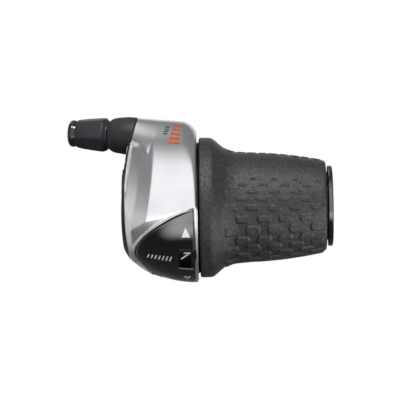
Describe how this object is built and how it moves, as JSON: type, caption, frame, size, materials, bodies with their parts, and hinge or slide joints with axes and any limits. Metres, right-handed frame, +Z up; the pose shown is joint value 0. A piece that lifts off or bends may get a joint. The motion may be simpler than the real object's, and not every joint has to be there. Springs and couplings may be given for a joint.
{
  "type": "twist grip gear shifter",
  "caption": "Right-hand twist-grip gear shifter: silver housing with gear display, ribbed rubber grip, cable adjuster and a bore for the handlebar.",
  "frame": {"origin": "on the handlebar's axis, at the inboard end of the handlebar bore", "axes": "+X along the handlebar towards its open end, -Y towards the rider's side that shows the display, +Z up to the cable side"},
  "size_m": [0.0972, 0.0541, 0.0614],
  "materials": {
    "nylon_black": "black glass-filled nylon, fine moulded texture",
    "abs_silver": "ABS with satin silver paint under clear lacquer",
    "abs_gloss_black": "gloss black ABS with printed marks",
    "acrylic_clear": "clear polished acrylic",
    "pom_black": "black acetal, smooth",
    "pom_white": "natural white acetal",
    "rubber_grip": "soft black rubber, fine grained, raised pads",
    "seal_black": "gloss black acetal",
    "spring_steel": "plain spring steel",
    "steel_zinc": "zinc-plated steel",
    "steel_black": "black-oxide steel",
    "brass": "turned brass",
    "knob_plastic": "black nylon, satin",
    "nitrile": "nitrile rubber"
  },
  "bodies": {
    "housing": {"base_housing": "nylon_black", "top_cover": "abs_silver", "display_cover": "abs_gloss_black", "display_pane": "acrylic_clear", "end_flange": "nylon_black", "clamp_band": "steel_zinc", "clamp_bolt": "steel_black", "clamp_nut": "steel_zinc", "cover_screws": "steel_black", "cable_hatch_plug": "nylon_black", "detent_spring": "spring_steel", "detent_screw": "steel_zinc", "pulley_pin": "steel_zinc", "thrust_washer": "pom_white", "adjuster_socket": "nylon_black", "adjuster_nut": "brass", "adjuster_o_ring": "nitrile"},
    "grip": {"grip_sleeve": "nylon_black", "grip_rubber": "rubber_grip", "cable_drum": "pom_white", "detent_ring": "pom_black", "number_dial": "pom_black", "dust_seal": "seal_black"},
    "pulley": {"guide_pulley": "pom_white"},
    "casing_stop": {"casing_ferrule": "knob_plastic"},
    "adjuster": {"adjuster_knob": "knob_plastic", "adjuster_screw": "steel_zinc"}
  },
  "joints": [
    {"name": "grip_turn", "type": "hinge", "parent": "housing", "child": "grip", "pos_m": [0, 0, 0], "axis": [1, 0, 0], "range_deg": [-120, 0], "deforming": ["detent_spring"]},
    {"name": "pulley_turn", "type": "hinge", "parent": "housing", "child": "pulley", "pos_m": [0.01111, -0.00608, 0.02212], "axis": [-0.2229, -0.8753, 0.4291], "range_deg": [0, 432]},
    {"name": "adjuster_travel", "type": "slide", "parent": "housing", "child": "casing_stop", "axis": [-0.9594, 0.2751, 0.0628], "range_m": [0, 0.003]},
    {"name": "adjuster_turn", "type": "hinge", "parent": "casing_stop", "child": "adjuster", "pos_m": [0.0039, -0.002, 0.0267], "axis": [-0.9594, 0.2751, 0.0628], "range_deg": [0, 1080]}
  ],
  "couplings": [
    {"joint": "pulley_turn", "follows": "grip_turn", "ratio": -3.6},
    {"joint": "adjuster_turn", "follows": "adjuster_travel", "rad_per_m": 6283.2}
  ]
}
